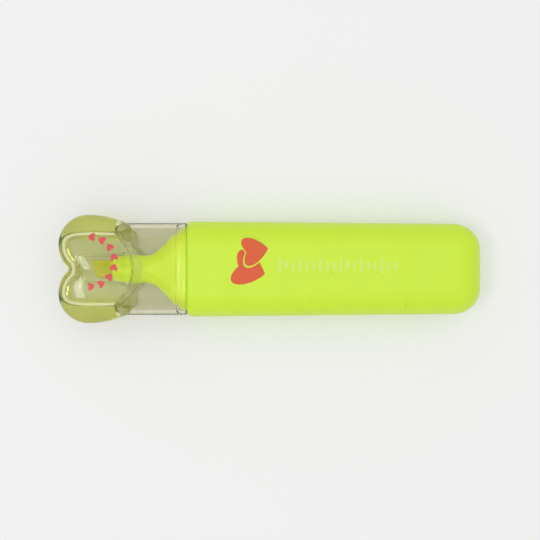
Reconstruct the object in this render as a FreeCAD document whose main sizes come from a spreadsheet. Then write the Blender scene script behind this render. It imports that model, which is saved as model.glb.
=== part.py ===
import FreeCAD, Part
import math
import os
import Sketcher

# Flat highlighter with a hollow heart on the end of its clear cap.
# X runs along the pen, the cap is at -X and the closed rear at +X. Y runs across
# the broad face and Z stands square to it. Every piece is drawn about the pen's
# axis and is then lifted by axis_height, so that the barrel's broad face is at Z = 0.

Vector = FreeCAD.Vector
UP = Vector(0, 0, 1)

SIZES = [
    # name, millimetres
    ("axis_height", 8.5),
    ("barrel_front", -23.5),
    ("barrel_rear", 60.0),
    ("barrel_front_width", 27.26),
    ("barrel_rear_width", 25.86),
    ("barrel_thickness", 17.0),
    ("barrel_plan_corner", 7.6),
    ("barrel_rounding", 7.4),
    ("barrel_lip_rounding", 1.35),
    ("bore_front_width", 24.16),
    ("bore_rear_width", 22.9),
    ("bore_thickness", 14.08),
    ("bore_rear", 58.5),
    ("bore_plan_corner", 6.2),
    ("bore_rounding", 6.0),
    ("reservoir_front", -14.95),
    ("reservoir_rear", 50.0),
    ("reservoir_diameter", 12.58),
    ("film_inner_diameter", 12.6),
    ("film_diameter", 13.0),
    ("film_clearance", 0.05),
    ("rib_front", -10.0),
    ("rib_thickness", 1.2),
    ("side_rib_root", 12.13),
    ("upright_rib_root", 7.34),
    ("rear_stop_diameter", 8.0),
    ("rear_stop_root", 59.0),
    ("plug_rear", -15.0),
    ("plug_width", 24.0),
    ("plug_thickness", 13.98),
    ("plug_corner", 5.95),
    ("plug_wall", 1.4),
    ("shoulder_rear", -24.7),
    ("shoulder_front", -35.2),
    ("shoulder_root", -23.2),
    ("shoulder_root_width", 24.3),
    ("neck_diameter", 7.9),
    ("neck_front", -41.0),
    ("holder_face", -44.6),
    ("holder_face_diameter", 6.9),
    ("guide_diameter", 7.2),
    ("guide_rear", -15.5),
    ("guide_start", -33.0),
    ("nib_width", 4.8),
    ("nib_thickness", 3.4),
    ("nib_clearance", 0.05),
    ("nib_long_side", -51.0),
    ("nib_short_side", -49.5),
    ("nib_tail", -11.0),
    ("nib_tail_taper", 2.0),
    ("nib_rounding", 0.4),
    ("cap_mouth", -23.7),
    ("cap_end", -43.5),
    ("cap_width", 26.36),
    ("cap_thickness", 16.16),
    ("cap_corner", 7.0),
    ("cap_wall", 1.3),
    ("cap_end_rounding", 0.6),
    ("notch_centre_x", -50.4),
    ("notch_radius", 12.0),
    ("mouth_width", 24.26),
    ("mouth_thickness", 14.24),
    ("mouth_corner", 6.0),
    ("mouth_depth", 2.7),
    ("cup_diameter", 8.9),
    ("cup_bore", 7.1),
    ("cup_mouth", 8.1),
    ("cup_end", -55.4),
    ("cup_floor", 1.55),
    ("cup_foot_chamfer", 0.8),
    ("cup_rim", -41.2),
    ("cup_bead_diameter", 9.8),
    ("cup_bead_length", 1.0),
    ("heart_half_thickness", 8.5),
    ("heart_wall", 1.5),
    ("heart_hollow_half_width", 10.7),
    ("heart_gap", 0.02),
    ("heart_lobe_x", -51.45),
    ("heart_lobe_y", 6.95),
    ("heart_lobe_radius", 8.55),
    ("heart_flank_radius", 25.0),
    ("heart_tip_radius", 12.0),
    ("heart_notch_radius", 1.2),
    ("heart_centre_x", -46.0),
]

# sections in the loft that turns the round neck into the flat plug
SHOULDER_STEPS = 7
# corner radius over height, where the section is round and where it is flat
NECK_ROUNDNESS = 0.492
PLUG_ROUNDNESS = 0.434
# levels of one heart half from its rim up to the flat spot on its crown
HEART_LEVELS = (0.0, 0.2, 0.4, 0.57, 0.72, 0.83, 0.91, 0.96, 0.988)
# power of the dome's profile: the higher it is, the fuller the dome
HEART_FULLNESS = 4.3
# points round each level
HEART_POINTS = 64
# sharpness of the blend between the hollow's outline and its flat sides
HOLLOW_BLEND = 8

doc = FreeCAD.newDocument("highlighter")
sheet = doc.addObject("Spreadsheet::Sheet", "dims")
for row, (size_name, size_value) in enumerate(SIZES, start=1):
    sheet.set(f"A{row}", size_name)
    sheet.set(f"B{row}", str(size_value))
    sheet.setAlias(f"B{row}", size_name)
doc.recompute()


def size(name):
    """Read one driving dimension back from the sheet."""
    return float(getattr(sheet, name))


def new_body(name):
    body = doc.addObject("PartDesign::Body", name)
    body.Label = name
    return body


def new_sketch(body, name, role, offset=None):
    """Sketch on one of the body's own planes, moved along its normal by an expression."""
    sketch = body.newObject("Sketcher::SketchObject", name)
    plane = next(item for item in body.Origin.OriginFeatures if item.Role == role)
    sketch.AttachmentSupport = [(plane, "")]
    sketch.MapMode = "FlatFace"
    if offset:
        sketch.setExpression(".AttachmentOffset.Base.z", offset)
    return sketch


def bind(sketch, constraint, name, expression):
    """Add a dimension to the sketch and drive it from the sheet."""
    index = sketch.addConstraint(constraint)
    sketch.renameConstraint(index, name)
    sketch.setExpression(f"Constraints.{name}", expression)


def flat(x, y):
    return Vector(x, y, 0)


def outline(sketch, points):
    """Closed chain of straight lines through the points; returns the line numbers."""
    lines = []
    for start, end in zip(points, points[1:] + points[:1]):
        lines.append(sketch.addGeometry(Part.LineSegment(flat(*start), flat(*end))))
    for this, following in zip(lines, lines[1:] + lines[:1]):
        sketch.addConstraint(Sketcher.Constraint("Coincident", this, 2, following, 1))
    return lines


def place_point(sketch, line, end, name, along, up):
    """Hold one end of a line at a position given by two expressions."""
    for axis, kind, expression in (("x", "DistanceX", along), ("y", "DistanceY", up)):
        value = sheet_value(expression)
        constraint = Sketcher.Constraint(kind, -1, 1, line, end, value)
        bind(sketch, constraint, f"{name}_{axis}", expression)


def sheet_value(expression):
    """Value of an expression over the sheet, as the sketch will see it."""
    return float(sheet.evalExpression(expression.replace("dims.", "")))


def polygon(body, name, role, corners, offset=None):
    """Sketch of a closed polygon whose corners are pairs of expressions."""
    sketch = new_sketch(body, name, role, offset)
    points = [(sheet_value(along), sheet_value(up)) for along, up in corners]
    lines = outline(sketch, points)
    for index, (line, (along, up)) in enumerate(zip(lines, corners)):
        place_point(sketch, line, 1, f"corner_{index}", along, up)
    return sketch


def add_rectangles(body, name, role, spans, offset=None):
    """Sketch of separate rectangles, each given as low and high corner expressions."""
    sketch = new_sketch(body, name, role, offset)
    for index, (left, low, right, high) in enumerate(spans):
        corners = [(left, low), (right, low), (right, high), (left, high)]
        points = [(sheet_value(along), sheet_value(up)) for along, up in corners]
        lines = outline(sketch, points)
        for side, (line, (along, up)) in enumerate(zip(lines, corners)):
            place_point(sketch, line, 1, f"box_{index}_corner_{side}", along, up)
    return sketch


def rounded_section(body, name, width, height, corner, offset):
    """Rounded rectangle square to the pen's axis, centred on it."""
    sketch = new_sketch(body, name, "YZ_Plane", offset)
    half_width = sheet_value(width) / 2
    half_height = sheet_value(height) / 2
    radius = sheet_value(corner)
    across = half_width - radius
    up = half_height - radius
    edges = []
    quarters = (
        ((-across, -half_height), (across, -half_height), (across, -up), -90),
        ((half_width, -up), (half_width, up), (across, up), 0),
        ((across, half_height), (-across, half_height), (-across, up), 90),
        ((-half_width, up), (-half_width, -up), (-across, -up), 180),
    )
    for start, end, centre, angle in quarters:
        edges.append(sketch.addGeometry(Part.LineSegment(flat(*start), flat(*end))))
        circle = Part.Circle(flat(*centre), UP, radius)
        arc = Part.ArcOfCircle(circle, math.radians(angle), math.radians(angle + 90))
        edges.append(sketch.addGeometry(arc))
    for this, following in zip(edges, edges[1:] + edges[:1]):
        sketch.addConstraint(Sketcher.Constraint("Tangent", this, 2, following, 1))
    for side in (edges[0], edges[4]):
        sketch.addConstraint(Sketcher.Constraint("Horizontal", side))
    for side in (edges[2], edges[6]):
        sketch.addConstraint(Sketcher.Constraint("Vertical", side))
    for arc in edges[3::2]:
        sketch.addConstraint(Sketcher.Constraint("Equal", edges[1], arc))
    sketch.addConstraint(Sketcher.Constraint("Symmetric", edges[1], 3, edges[5], 3, -1, 1))
    bind(sketch, Sketcher.Constraint("Radius", edges[1], radius), "corner", corner)
    bind(
        sketch,
        Sketcher.Constraint("DistanceX", edges[7], 3, edges[1], 3, 2 * across),
        "across",
        f"({width}) - 2 * ({corner})",
    )
    bind(
        sketch,
        Sketcher.Constraint("DistanceY", edges[1], 3, edges[3], 3, 2 * up),
        "up",
        f"({height}) - 2 * ({corner})",
    )
    return sketch


def round_section(body, name, diameter, offset):
    """Circle square to the pen's axis, centred on it."""
    sketch = new_sketch(body, name, "YZ_Plane", offset)
    radius = sheet_value(diameter) / 2
    circle = sketch.addGeometry(Part.Circle(flat(0, 0), UP, radius))
    sketch.addConstraint(Sketcher.Constraint("Coincident", circle, 3, -1, 1))
    bind(sketch, Sketcher.Constraint("Diameter", circle, 2 * radius), "diameter", diameter)
    return sketch


def tapered_plan(body, name, front, front_width, rear, rear_width, corner):
    """Plan outline of the barrel or its bore: straight tapering sides, two rear corners."""
    sketch = new_sketch(body, name, "XY_Plane")
    x_front = sheet_value(front)
    x_rear = sheet_value(rear)
    half_front = sheet_value(front_width) / 2
    half_rear = sheet_value(rear_width) / 2
    radius = sheet_value(corner)
    add = sketch.addGeometry
    lines = [
        add(Part.LineSegment(flat(x_front, half_front), flat(x_front, -half_front))),
        add(Part.LineSegment(flat(x_front, -half_front), flat(x_rear - radius, -half_rear))),
        add(Part.LineSegment(flat(x_rear, radius - half_rear), flat(x_rear, half_rear - radius))),
        add(Part.LineSegment(flat(x_rear - radius, half_rear), flat(x_front, half_front))),
    ]
    low = Part.Circle(flat(x_rear - radius, radius - half_rear), UP, radius)
    high = Part.Circle(flat(x_rear - radius, half_rear - radius), UP, radius)
    low_arc = add(Part.ArcOfCircle(low, math.radians(-90), 0))
    high_arc = add(Part.ArcOfCircle(high, 0, math.radians(90)))
    rule = Sketcher.Constraint
    sketch.addConstraint(rule("Coincident", lines[0], 2, lines[1], 1))
    sketch.addConstraint(rule("Tangent", lines[1], 2, low_arc, 1))
    sketch.addConstraint(rule("Tangent", low_arc, 2, lines[2], 1))
    sketch.addConstraint(rule("Tangent", lines[2], 2, high_arc, 1))
    sketch.addConstraint(rule("Tangent", high_arc, 2, lines[3], 1))
    sketch.addConstraint(rule("Coincident", lines[3], 2, lines[0], 1))
    sketch.addConstraint(rule("Vertical", lines[2]))
    sketch.addConstraint(rule("Symmetric", lines[0], 1, lines[0], 2, -1))
    sketch.addConstraint(rule("Symmetric", low_arc, 3, high_arc, 3, -1))
    bind(sketch, rule("DistanceX", -1, 1, lines[0], 1, x_front), "front", front)
    bind(sketch, rule("DistanceX", -1, 1, lines[2], 1, x_rear), "rear", rear)
    bind(sketch, rule("Radius", low_arc, radius), "corner", corner)
    bind(
        sketch,
        rule("DistanceY", lines[0], 2, lines[0], 1, 2 * half_front),
        "front_width",
        front_width,
    )
    bind(
        sketch,
        rule("DistanceY", low_arc, 3, high_arc, 3, 2 * (half_rear - radius)),
        "corner_spacing",
        f"({rear_width}) - 2 * ({corner})",
    )
    return sketch


def add_pad(body, name, sketch, length, symmetric=False, reverse=False):
    pad = body.newObject("PartDesign::Pad", name)
    pad.Profile = sketch
    pad.setExpression("Length", length)
    if symmetric:
        pad.SideType = "Symmetric"
    pad.Reversed = reverse
    doc.recompute()
    return pad


def add_pocket(body, name, sketch, length, symmetric=False, reverse=False):
    """Pocket that has to take material away; a cut into air stops the build."""
    before = body.Shape.Volume
    pocket = body.newObject("PartDesign::Pocket", name)
    pocket.Profile = sketch
    pocket.setExpression("Length", length)
    if symmetric:
        pocket.SideType = "Symmetric"
    pocket.Reversed = reverse
    doc.recompute()
    if pocket.Shape.Volume > before - 0.01:
        raise RuntimeError(f"{name} cuts nothing")
    return pocket


def add_fillet(body, name, base, radius, wanted):
    """Round every edge of the base feature that the test picks."""
    fillet = body.newObject("PartDesign::Fillet", name)
    picked = [f"Edge{n}" for n, edge in enumerate(base.Shape.Edges, 1) if wanted(edge)]
    if not picked:
        raise RuntimeError(f"{name} found no edges")
    fillet.Base = (base, picked)
    fillet.setExpression("Radius", radius)
    doc.recompute()
    return fillet


def level_edge(height, left, right):
    """Test for edges that lie at plus or minus this height between two stations."""

    def wanted(edge):
        box = edge.BoundBox
        level = box.ZLength < 1e-4 and abs(abs(box.ZMin) - height) < 1e-4
        return level and box.XMin > left and box.XMax < right and box.XLength > 1e-4

    return wanted


def rear_level_edge(height, left, right, rear):
    """As level_edge, with the straight edge across the rear as well."""
    lengthways = level_edge(height, left, right)

    def wanted(edge):
        box = edge.BoundBox
        level = box.ZLength < 1e-4 and abs(abs(box.ZMin) - height) < 1e-4
        return lengthways(edge) or (level and abs(box.XMin - rear) < 1e-4)

    return wanted


def end_edge(station, reach):
    """Test for edges in one plane square to the axis that keep away from it."""

    def wanted(edge):
        box = edge.BoundBox
        if box.XLength > 1e-4 or abs(box.XMin - station) > 1e-4:
            return False
        return max(abs(box.YMin), abs(box.YMax), abs(box.ZMin), abs(box.ZMax)) > reach

    return wanted


def smooth_step(share):
    return share * share * (3 - 2 * share)


def build_barrel():
    """One moulded shell: tapering sides, rounded all over the rear, ribs and a rear stop."""
    body = new_body("barrel")
    plan = tapered_plan(
        body, "barrel_plan", "dims.barrel_front", "dims.barrel_front_width",
        "dims.barrel_rear", "dims.barrel_rear_width", "dims.barrel_plan_corner",
    )
    block = add_pad(body, "barrel_block", plan, "dims.barrel_thickness", symmetric=True)
    half = size("barrel_thickness") / 2
    front = size("barrel_front")
    rear = size("barrel_rear")
    rounded = add_fillet(
        body, "barrel_sides", block, "dims.barrel_rounding",
        rear_level_edge(half, front - 1, rear + 1, rear),
    )
    add_fillet(body, "barrel_lip", rounded, "dims.barrel_lip_rounding", end_edge(front, 0))

    # the bore is the shape of the moulding core, rounded before it is cut away
    core = new_body("barrel_core")
    core_plan = tapered_plan(
        core, "core_plan", "dims.barrel_front - 1", "dims.bore_front_width",
        "dims.bore_rear", "dims.bore_rear_width", "dims.bore_plan_corner",
    )
    core_block = add_pad(core, "core_block", core_plan, "dims.bore_thickness", symmetric=True)
    bore_rear = size("bore_rear")
    add_fillet(
        core, "core_sides", core_block, "dims.bore_rounding",
        rear_level_edge(size("bore_thickness") / 2, front - 2, bore_rear + 1, bore_rear),
    )
    before = body.Shape.Volume
    bore = body.newObject("PartDesign::Boolean", "bore")
    bore.Type = "Cut"
    bore.setObjects([core])
    doc.recompute()
    if bore.Shape.Volume > before - 0.01:
        raise RuntimeError("bore cuts nothing")

    # ribs that hold the ink filling on the axis: one per side, one above, one below
    inner = "dims.film_diameter / 2 + dims.film_clearance"
    side = "dims.side_rib_root"
    front_end = "dims.rib_front"
    rear_end = "dims.reservoir_rear"
    sides = add_rectangles(
        body, "side_rib_plan", "XY_Plane",
        [(front_end, inner, rear_end, side), (front_end, f"-({side})", rear_end, f"-({inner})")],
    )
    add_pad(body, "side_ribs", sides, "dims.rib_thickness", symmetric=True)
    roof = "dims.upright_rib_root"
    uprights = add_rectangles(
        body, "upright_rib_plan", "XZ_Plane",
        [(front_end, inner, rear_end, roof), (front_end, f"-({roof})", rear_end, f"-({inner})")],
    )
    add_pad(body, "upright_ribs", uprights, "dims.rib_thickness", symmetric=True)

    stop = round_section(
        body, "rear_stop_section", "dims.rear_stop_diameter",
        "dims.reservoir_rear + dims.film_clearance",
    )
    add_pad(
        body, "rear_stop", stop,
        "dims.rear_stop_root - dims.reservoir_rear - dims.film_clearance",
    )
    return body


def shoulder_section(body, name, share, inset=0.0):
    """Section of the shoulder at a share of its length from the neck to the plug."""
    blend = smooth_step(share)
    station = (
        f"dims.shoulder_front + ({share}) * (dims.shoulder_root - dims.shoulder_front)"
    )
    width = f"dims.neck_diameter + {blend} * (dims.shoulder_root_width - dims.neck_diameter)"
    height = f"dims.neck_diameter + {blend} * (dims.plug_thickness - dims.neck_diameter)"
    roundness = NECK_ROUNDNESS + blend * (PLUG_ROUNDNESS - NECK_ROUNDNESS)
    corner = f"({height}) * {roundness}"
    if inset:
        width = f"{width} - 2 * {inset}"
        height = f"{height} - 2 * {inset}"
        corner = f"({height}) * {roundness}"
    return rounded_section(body, name, width, height, corner, station)


def build_front_section():
    """Plug, seat for the cap, flaring shoulder, round neck and nib holder in one moulding."""
    body = new_body("front_section")
    plug = rounded_section(
        body, "plug_section", "dims.plug_width", "dims.plug_thickness",
        "dims.plug_corner", "dims.shoulder_rear",
    )
    add_pad(body, "plug", plug, "dims.plug_rear - dims.shoulder_rear")

    last_share = (size("shoulder_rear") - size("shoulder_front")) / (
        size("shoulder_root") - size("shoulder_front")
    )
    shares = [last_share * step / (SHOULDER_STEPS - 1) for step in range(SHOULDER_STEPS)]
    sections = [
        shoulder_section(body, f"shoulder_section_{index}", share)
        for index, share in enumerate(shares)
    ]
    shoulder = body.newObject("PartDesign::AdditiveLoft", "shoulder")
    shoulder.Profile = sections[0]
    shoulder.Sections = sections[1:]
    doc.recompute()

    # the hollow behind the shoulder follows it one wall inside
    hollow = rounded_section(
        body, "plug_hollow_section",
        "dims.plug_width - 2 * dims.plug_wall", "dims.plug_thickness - 2 * dims.plug_wall",
        "dims.plug_corner - dims.plug_wall", "dims.plug_rear",
    )
    add_pocket(body, "plug_hollow", hollow, "dims.plug_rear - dims.shoulder_rear - 0.2")
    before = body.Shape.Volume
    inner_shares = shares[2:]
    inner = [
        shoulder_section(body, f"shoulder_hollow_section_{index}", share, size("plug_wall"))
        for index, share in enumerate(inner_shares)
    ]
    carve = body.newObject("PartDesign::SubtractiveLoft", "shoulder_hollow")
    carve.Profile = inner[0]
    carve.Sections = inner[1:]
    doc.recompute()
    if carve.Shape.Volume > before - 0.01:
        raise RuntimeError("shoulder_hollow cuts nothing")

    # neck, tapered nib holder and the guide that carries the nib back to the ink
    holder = polygon(
        body, "holder_profile", "XY_Plane",
        [
            ("dims.holder_face", "0"),
            ("dims.guide_rear", "0"),
            ("dims.guide_rear", "dims.guide_diameter / 2"),
            ("dims.guide_start", "dims.guide_diameter / 2"),
            ("dims.guide_start", "dims.neck_diameter / 2"),
            ("dims.neck_front", "dims.neck_diameter / 2"),
            ("dims.holder_face", "dims.holder_face_diameter / 2"),
        ],
    )
    turned = body.newObject("PartDesign::Revolution", "holder")
    turned.Profile = holder
    turned.ReferenceAxis = (holder, ["H_Axis"])
    doc.recompute()

    channel = add_rectangles(
        body, "nib_channel_section", "YZ_Plane",
        [(
            "-dims.nib_width / 2 - dims.nib_clearance / 2",
            "-dims.nib_thickness / 2 - dims.nib_clearance / 2",
            "dims.nib_width / 2 + dims.nib_clearance / 2",
            "dims.nib_thickness / 2 + dims.nib_clearance / 2",
        )],
        "dims.guide_rear + 1",
    )
    add_pocket(body, "nib_channel", channel, "dims.guide_rear - dims.holder_face + 2")
    return body


def build_nib():
    """Fibre bar: chisel end cut on the slant, tail pointed to push into the ink filling."""
    body = new_body("nib")
    half = "dims.nib_width / 2"
    plan = polygon(
        body, "nib_plan", "XY_Plane",
        [
            ("dims.nib_long_side", half),
            ("dims.nib_short_side", f"-{half}"),
            ("dims.nib_tail - dims.nib_tail_taper", f"-{half}"),
            ("dims.nib_tail", f"-{half} / 3"),
            ("dims.nib_tail", f"{half} / 3"),
            ("dims.nib_tail - dims.nib_tail_taper", half),
        ],
    )
    bar = add_pad(body, "nib_bar", plan, "dims.nib_thickness", symmetric=True)
    tip_reach = size("nib_short_side") + 0.01

    def wanted(edge):
        return edge.BoundBox.XMax < tip_reach

    add_fillet(body, "nib_tip", bar, "dims.nib_rounding", wanted)
    return body


def build_reservoir():
    """Round wick with a slot in its front end for the tail of the nib."""
    body = new_body("ink_reservoir")
    section = round_section(
        body, "reservoir_section", "dims.reservoir_diameter", "dims.reservoir_front"
    )
    add_pad(body, "reservoir_bar", section, "dims.reservoir_rear - dims.reservoir_front")
    slot = add_rectangles(
        body, "tail_slot_section", "YZ_Plane",
        [(
            "-dims.nib_width / 2 - dims.nib_clearance",
            "-dims.nib_thickness / 2 - dims.nib_clearance",
            "dims.nib_width / 2 + dims.nib_clearance",
            "dims.nib_thickness / 2 + dims.nib_clearance",
        )],
        "dims.reservoir_front",
    )
    add_pocket(
        body, "tail_slot", slot,
        "dims.nib_tail - dims.reservoir_front + dims.nib_clearance", reverse=True,
    )
    return body


def build_film():
    """Thin tube drawn over the wick."""
    body = new_body("reservoir_film")
    section = round_section(body, "film_section", "dims.film_diameter", "dims.reservoir_front")
    length = "dims.reservoir_rear - dims.reservoir_front"
    add_pad(body, "film_bar", section, length)
    bore = round_section(
        body, "film_bore_section", "dims.film_inner_diameter", "dims.reservoir_front"
    )
    add_pocket(body, "film_bore", bore, length, reverse=True)
    return body


def build_cap_tube():
    """Clear sleeve: stepped mouth, and a far end notched round so the heart closes it."""
    body = new_body("cap_tube")
    section = rounded_section(
        body, "cap_section", "dims.cap_width", "dims.cap_thickness",
        "dims.cap_corner", "dims.cap_end",
    )
    length = "dims.cap_mouth - dims.cap_end"
    tube = add_pad(body, "cap_block", section, length)
    add_fillet(
        body, "cap_end_edge", tube, "dims.cap_end_rounding", end_edge(size("cap_end"), 0)
    )
    hollow = rounded_section(
        body, "cap_hollow_section",
        "dims.cap_width - 2 * dims.cap_wall", "dims.cap_thickness - 2 * dims.cap_wall",
        "dims.cap_corner - dims.cap_wall", "dims.cap_mouth",
    )
    add_pocket(body, "cap_hollow", hollow, length + " + 1")
    step = rounded_section(
        body, "mouth_section", "dims.mouth_width", "dims.mouth_thickness",
        "dims.mouth_corner", "dims.cap_mouth",
    )
    widened = add_pocket(body, "mouth_step", step, "dims.mouth_depth")
    mouth = size("cap_mouth")
    outer_reach = size("mouth_width") / 2 + 0.2
    outer_rise = size("mouth_thickness") / 2 + 0.2

    def mouth_rim(edge):
        box = edge.BoundBox
        if box.XLength > 1e-4 or abs(box.XMin - mouth) > 1e-4:
            return False
        across = max(abs(box.YMin), abs(box.YMax))
        up = max(abs(box.ZMin), abs(box.ZMax))
        return across > outer_reach or up > outer_rise

    add_fillet(body, "mouth_rim", widened, "dims.cap_end_rounding / 2", mouth_rim)

    # the notch leaves a tongue on each side that carries the heart
    plan = new_sketch(body, "notch_plan", "XY_Plane")
    radius = size("notch_radius")
    centre_x = size("notch_centre_x")
    arc = plan.addGeometry(Part.Circle(flat(centre_x, 0), UP, radius))
    plan.addConstraint(Sketcher.Constraint("PointOnObject", arc, 3, -1))
    bind(
        plan, Sketcher.Constraint("DistanceX", -1, 1, arc, 3, centre_x),
        "centre_x", "dims.notch_centre_x",
    )
    bind(plan, Sketcher.Constraint("Radius", arc, radius), "radius", "dims.notch_radius")
    add_pocket(body, "notch", plan, "dims.cap_thickness + 2", symmetric=True)
    return body


def build_inner_cap():
    """Cup that stands out from the heart's end wall and seals on the nib holder."""
    body = new_body("inner_cap")
    profile = polygon(
        body, "cup_profile", "XY_Plane",
        [
            ("dims.cup_end", "0"),
            ("dims.cup_end", "dims.cup_diameter / 2 - dims.cup_foot_chamfer"),
            ("dims.cup_end + dims.cup_foot_chamfer", "dims.cup_diameter / 2"),
            ("dims.cup_rim - dims.cup_bead_length", "dims.cup_diameter / 2"),
            ("dims.cup_rim - dims.cup_bead_length", "dims.cup_bead_diameter / 2"),
            ("dims.cup_rim", "dims.cup_bead_diameter / 2"),
            ("dims.cup_rim", "dims.cup_mouth / 2"),
            ("dims.holder_face - 0.1", "dims.cup_bore / 2"),
            ("dims.cup_end + dims.cup_floor", "dims.cup_bore / 2"),
            ("dims.cup_end + dims.cup_floor", "0"),
        ],
    )
    cup = body.newObject("PartDesign::Revolution", "cup")
    cup.Profile = profile
    cup.ReferenceAxis = (profile, ["H_Axis"])
    doc.recompute()
    return body


def ray_circle(origin, direction, centre, radius):
    """Distance along a ray to the far side of a circle, or None when it misses."""
    gap = origin - centre
    along = gap.dot(direction)
    inside = along * along - gap.dot(gap) + radius * radius
    if inside < 0:
        return None
    return -along + math.sqrt(inside)


def heart_radius(angle, inset):
    """Reach of the heart's rim from its centre, in one direction, inset by a wall.

    The rim is two round lobes, two long flank arcs that leave them tangentially, a
    rounded tip and a small rounded notch. Only the upper half is worked out.
    """
    direction = Vector(math.cos(angle), abs(math.sin(angle)), 0)
    centre = Vector(size("heart_centre_x"), 0, 0)
    lobe = Vector(size("heart_lobe_x"), size("heart_lobe_y"), 0)
    lobe_radius = size("heart_lobe_radius") - inset
    flank_drop = size("heart_flank_radius") - size("heart_lobe_radius")
    flank = lobe - Vector(0, flank_drop, 0)
    flank_radius = size("heart_flank_radius") - inset

    tip_radius = size("heart_tip_radius") - inset
    flank_to_tip = flank_radius - tip_radius
    tip = Vector(flank.x + math.sqrt(flank_to_tip ** 2 - flank.y ** 2), 0, 0)
    tip_touch = flank + (tip - flank).normalize() * flank_radius

    notch_radius = size("heart_notch_radius") + inset
    lobe_to_notch = lobe_radius + notch_radius
    notch = Vector(lobe.x - math.sqrt(lobe_to_notch ** 2 - lobe.y ** 2), 0, 0)
    notch_touch = lobe + (notch - lobe).normalize() * lobe_radius

    def bearing(point):
        return math.atan2(point.y - centre.y, point.x - centre.x)

    turn = math.atan2(direction.y, direction.x)
    if turn <= bearing(tip_touch):
        return ray_circle(centre, direction, tip, tip_radius)
    if turn <= bearing(lobe + Vector(0, lobe_radius, 0)):
        return ray_circle(centre, direction, flank, flank_radius)
    if turn <= bearing(notch_touch):
        return ray_circle(centre, direction, lobe, lobe_radius)
    gap = centre - notch
    along = gap.dot(direction)
    return -along - math.sqrt(along * along - gap.dot(gap) + notch_radius ** 2)


def hollow_radius(angle):
    """Reach of the heart's hollow: one wall inside the rim, with straight flat sides."""
    reach = heart_radius(angle, size("heart_wall"))
    side = abs(math.sin(angle)) / size("heart_hollow_half_width")
    return (reach ** -HOLLOW_BLEND + side ** HOLLOW_BLEND) ** (-1 / HOLLOW_BLEND)


def heart_solid(inset, start, reach_at):
    """One domed half of the heart as a solid, from its rim plane upwards."""
    height = size("heart_half_thickness") - inset
    centre_x = size("heart_centre_x")
    wires = []
    for level in HEART_LEVELS:
        rise = level * height
        shrink = (1 - level ** HEART_FULLNESS) ** (1 / HEART_FULLNESS)
        points = []
        for index in range(HEART_POINTS):
            angle = 2 * math.pi * index / HEART_POINTS
            reach = reach_at(angle) * shrink
            points.append(
                Vector(centre_x + reach * math.cos(angle), reach * math.sin(angle), rise + start)
            )
        curve = Part.BSplineCurve()
        curve.interpolate(Points=points, PeriodicFlag=True)
        wires.append(Part.Wire(curve.toShape()))
    return Part.makeLoft(wires, True, False)


def rounded_bar(width, height, corner, left, right):
    """Solid bar of rounded rectangular section along the pen's axis."""
    across = width / 2 - corner
    up = height / 2 - corner
    slab = Part.makeBox(right - left, width, 2 * up, Vector(left, -width / 2, -up))
    tall = Part.makeBox(right - left, 2 * across, height, Vector(left, -across, -height / 2))
    bar = slab.fuse(tall)
    for y_sign in (-1, 1):
        for z_sign in (-1, 1):
            spot = Vector(left, y_sign * across, z_sign * up)
            bar = bar.fuse(Part.makeCylinder(corner, right - left, spot, Vector(1, 0, 0)))
    return bar.removeSplitter()


def build_heart_half(name, upper):
    """Hollow half of the heart, cut where it sits on the tube and fills its notch."""
    gap = size("heart_gap")
    block = heart_solid(0.0, gap / 2, lambda angle: heart_radius(angle, 0.0))
    half = block.cut(heart_solid(size("heart_wall"), 0.0, hollow_radius))
    tube = rounded_bar(
        size("cap_width") + 2 * gap, size("cap_thickness") + 2 * gap,
        size("cap_corner") + gap, size("cap_end") - gap, 0.0,
    )
    depth = size("cap_thickness")
    foot = Vector(size("notch_centre_x"), 0, -depth)
    notch = Part.makeCylinder(size("notch_radius") - gap, 2 * depth, foot)
    half = half.cut(tube.cut(notch))
    if not upper:
        half = half.mirror(Vector(0, 0, 0), UP)
    shell = doc.addObject("Part::Feature", name)
    shell.Shape = half
    shell.Label = name
    return shell


pieces = [
    build_barrel(),
    build_front_section(),
    build_nib(),
    build_reservoir(),
    build_film(),
    build_cap_tube(),
    build_inner_cap(),
    build_heart_half("heart_front_shell", upper=True),
    build_heart_half("heart_back_shell", upper=False),
]
lift = size("axis_height")
for piece in pieces:
    piece.Placement = FreeCAD.Placement(Vector(0, 0, lift), FreeCAD.Rotation())
doc.recompute()

for item in doc.Objects:
    if "Invalid" in item.State or "Error" in item.State:
        raise RuntimeError(f"{item.Name} did not recompute: {item.State}")
for piece in pieces:
    shape = piece.Shape
    if shape.isNull() or not shape.isValid():
        raise RuntimeError(f"{piece.Label} has no sound shape")
    if len(shape.Solids) != 1:
        raise RuntimeError(f"{piece.Label} is {len(shape.Solids)} solids, not one")

os.makedirs("parts", exist_ok=True)
for piece in pieces:
    piece.Shape.exportStep(f"parts/{piece.Label}.step")
    box = piece.Shape.BoundBox
    print(
        f"{piece.Label}: volume {piece.Shape.Volume:.1f},"
        f" x {box.XMin:.2f}..{box.XMax:.2f}, y {box.YMin:.2f}..{box.YMax:.2f},"
        f" z {box.ZMin:.2f}..{box.ZMax:.2f}"
    )
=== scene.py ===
import math

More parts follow.
